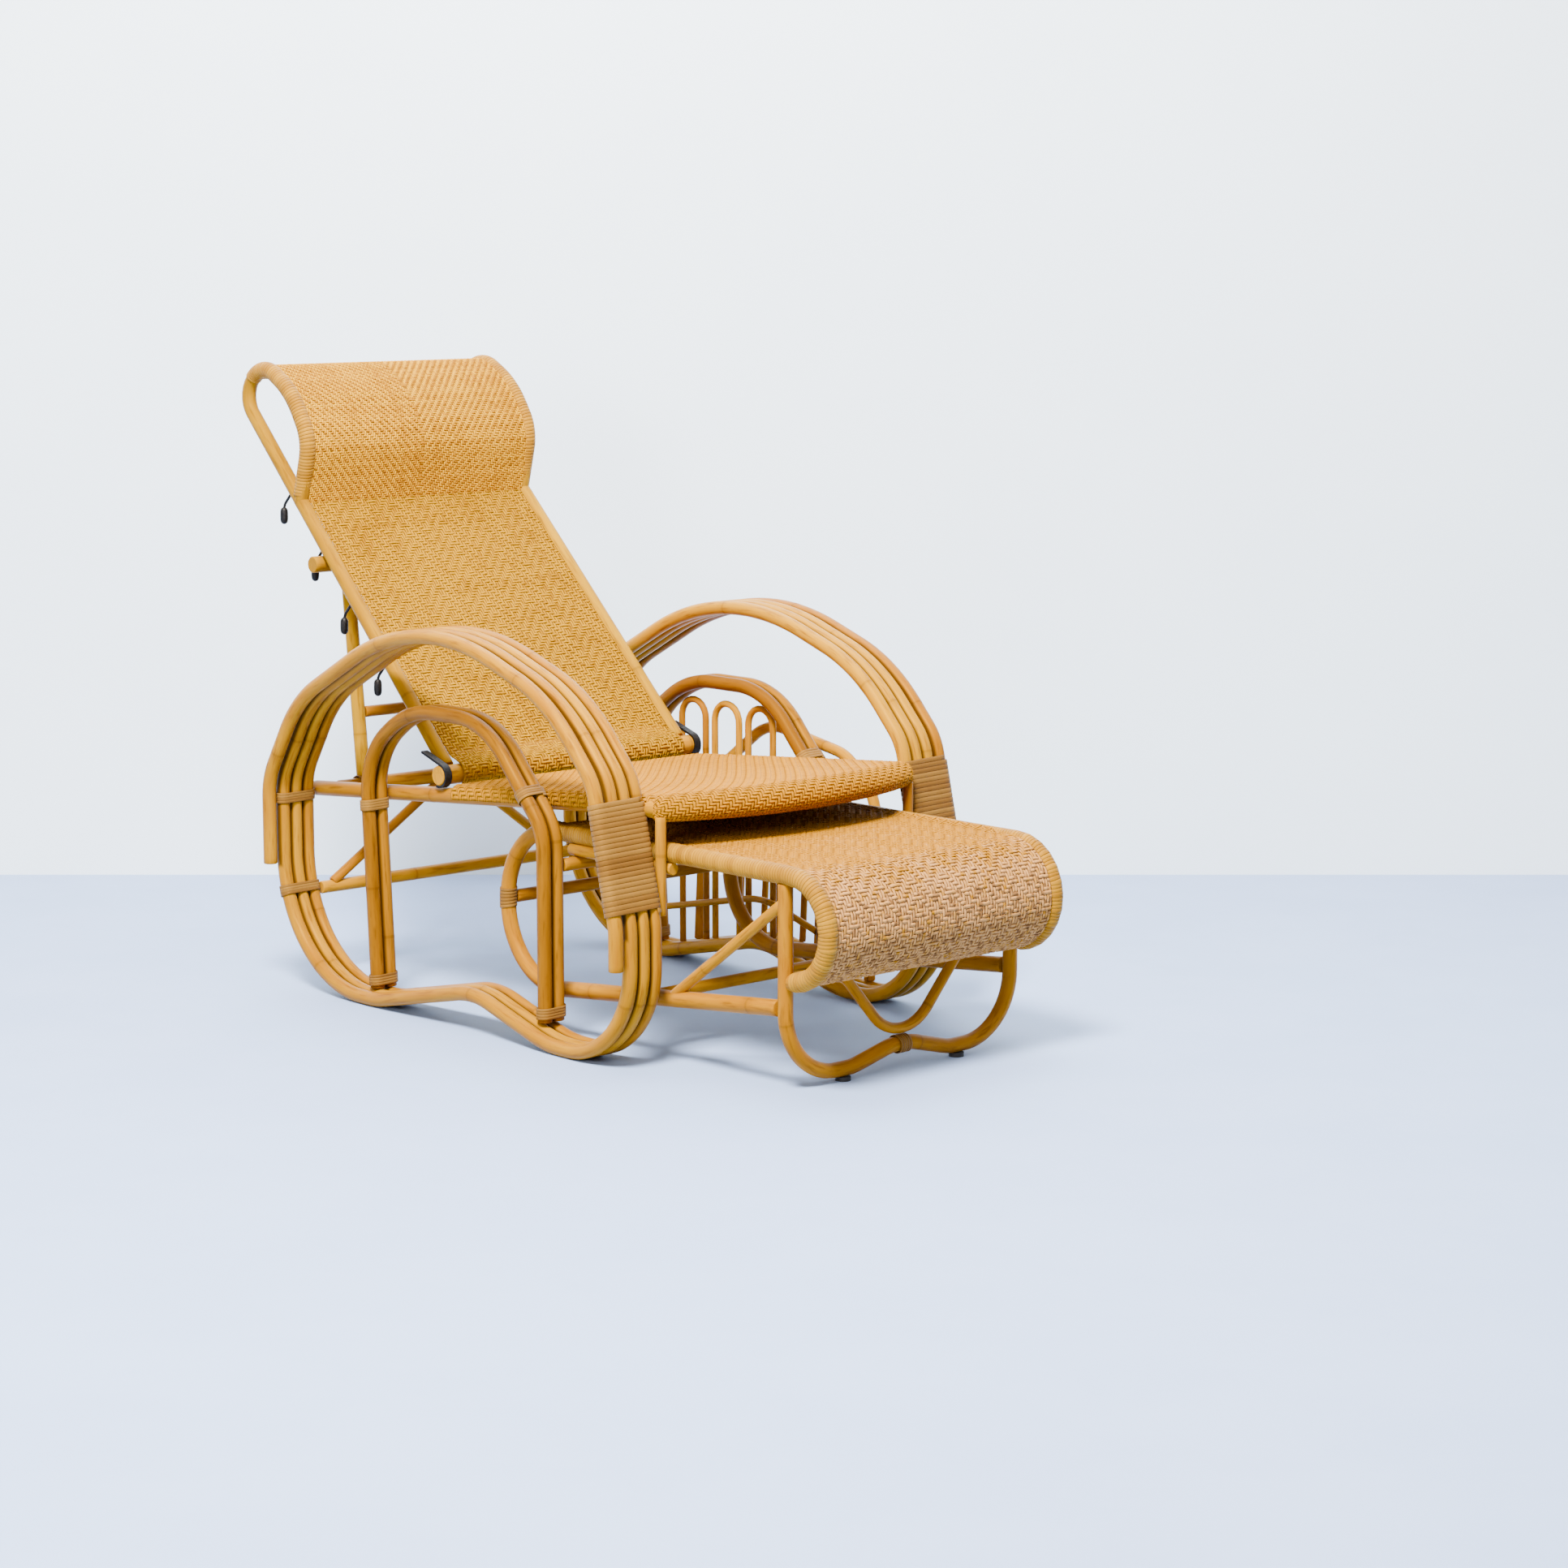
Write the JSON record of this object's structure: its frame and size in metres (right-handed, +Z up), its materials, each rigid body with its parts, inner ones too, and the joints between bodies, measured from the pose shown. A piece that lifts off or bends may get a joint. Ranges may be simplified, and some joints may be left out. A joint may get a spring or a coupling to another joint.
{
  "type": "reclining chaise longue",
  "caption": "Bent rattan reclining lounge chair with looped arms, woven seat and headrest, propped back, pull-out footrest and a magazine rack in one side.",
  "frame": {"origin": "floor level, below the centre of the chair's bounding box with the footrest drawn out", "axes": "+Z up, +Y towards the back of the chair, the sitter faces -Y, +X to the sitter's left, where the rack is"},
  "size_m": [0.7002, 1.3861, 0.9668],
  "materials": {
    "rattan_arm": "satin lacquer on honey rattan",
    "rattan_pole": "satin lacquer on rattan",
    "cane_binding": "glossy wound rattan peel",
    "back_weave": "satin golden splint weave",
    "headrest_weave": "satin fine cane weave",
    "seat_weave": "satin fine cane weave",
    "footrest_weave": "satin coarse cane weave",
    "black_iron": "dark forged iron",
    "glide": "matt"
  },
  "bodies": {
    "frame": {"right_arm_outer_cane": "rattan_arm", "left_arm_outer_cane": "rattan_arm", "right_loop_cane_1": "rattan_arm", "right_loop_cane_2": "rattan_arm", "right_loop_cane_3": "rattan_arm", "left_loop_cane_1": "rattan_arm", "left_loop_cane_2": "rattan_arm", "left_loop_cane_3": "rattan_arm", "right_front_binding": "cane_binding", "right_rear_bindings": "cane_binding", "right_arch_bindings": "cane_binding", "left_front_binding": "cane_binding", "left_rear_bindings": "cane_binding", "left_arch_bindings": "cane_binding", "right_arch_outer_cane": "rattan_pole", "right_arch_inner_cane": "rattan_pole", "left_arch_outer_cane": "rattan_pole", "left_arch_inner_cane": "rattan_pole", "right_seat_rail": "rattan_pole", "right_guide_rail": "rattan_pole", "right_guide_post": "rattan_pole", "left_seat_rail": "rattan_pole", "left_guide_rail": "rattan_pole", "left_guide_post": "rattan_pole", "front_seat_rail": "rattan_pole", "seat_cross_rods": "rattan_pole", "rear_seat_rail": "rattan_pole", "rear_stretcher": "rattan_pole", "rear_braces": "rattan_pole", "footrest_stop_rail": "rattan_pole", "seat_panel": "seat_weave", "right_hinge_strap": "black_iron", "left_hinge_strap": "black_iron", "rack_inner_spindles": "rattan_pole", "rack_tie_rail": "rattan_pole", "rack_outer_arch": "rattan_pole", "rack_outer_spindles": "rattan_pole"},
    "backrest": {"right_back_stile": "rattan_pole", "right_prop_hooks": "black_iron", "left_back_stile": "rattan_pole", "left_prop_hooks": "black_iron", "back_panel": "back_weave", "headrest_panel": "headrest_weave", "back_cross_rails": "rattan_pole", "hinge_pole": "rattan_pole"},
    "prop": {"prop_rod": "rattan_pole", "right_prop_pole": "rattan_pole", "left_prop_pole": "rattan_pole", "prop_foot_bindings": "cane_binding", "prop_rung": "rattan_pole"},
    "footrest": {"right_footrest_side_pole": "rattan_pole", "left_footrest_side_pole": "rattan_pole", "footrest_front_leg": "rattan_pole", "footrest_cross_poles": "rattan_pole", "footrest_v_brace": "rattan_pole", "footrest_diagonals": "rattan_pole", "footrest_leg_binding": "cane_binding", "footrest_glides": "glide", "footrest_panel": "footrest_weave"}
  },
  "joints": [
    {"name": "backrest_recline", "type": "hinge", "parent": "frame", "child": "backrest", "pos_m": [0, 0.145, 0.3624], "axis": [1, 0, 0], "range_deg": [0, 32]},
    {"name": "prop_swing", "type": "hinge", "parent": "frame", "child": "prop", "pos_m": [0, 0.442, 0.3071], "axis": [1, 0, 0], "range_deg": [0, 27.2]},
    {"name": "footrest_slide", "type": "slide", "parent": "frame", "child": "footrest", "axis": [0, -1, 0], "range_m": [-0.21, 0.05]}
  ],
  "couplings": [
    {"joint": "prop_swing", "follows": "backrest_recline", "ratio": 0.85}
  ]
}
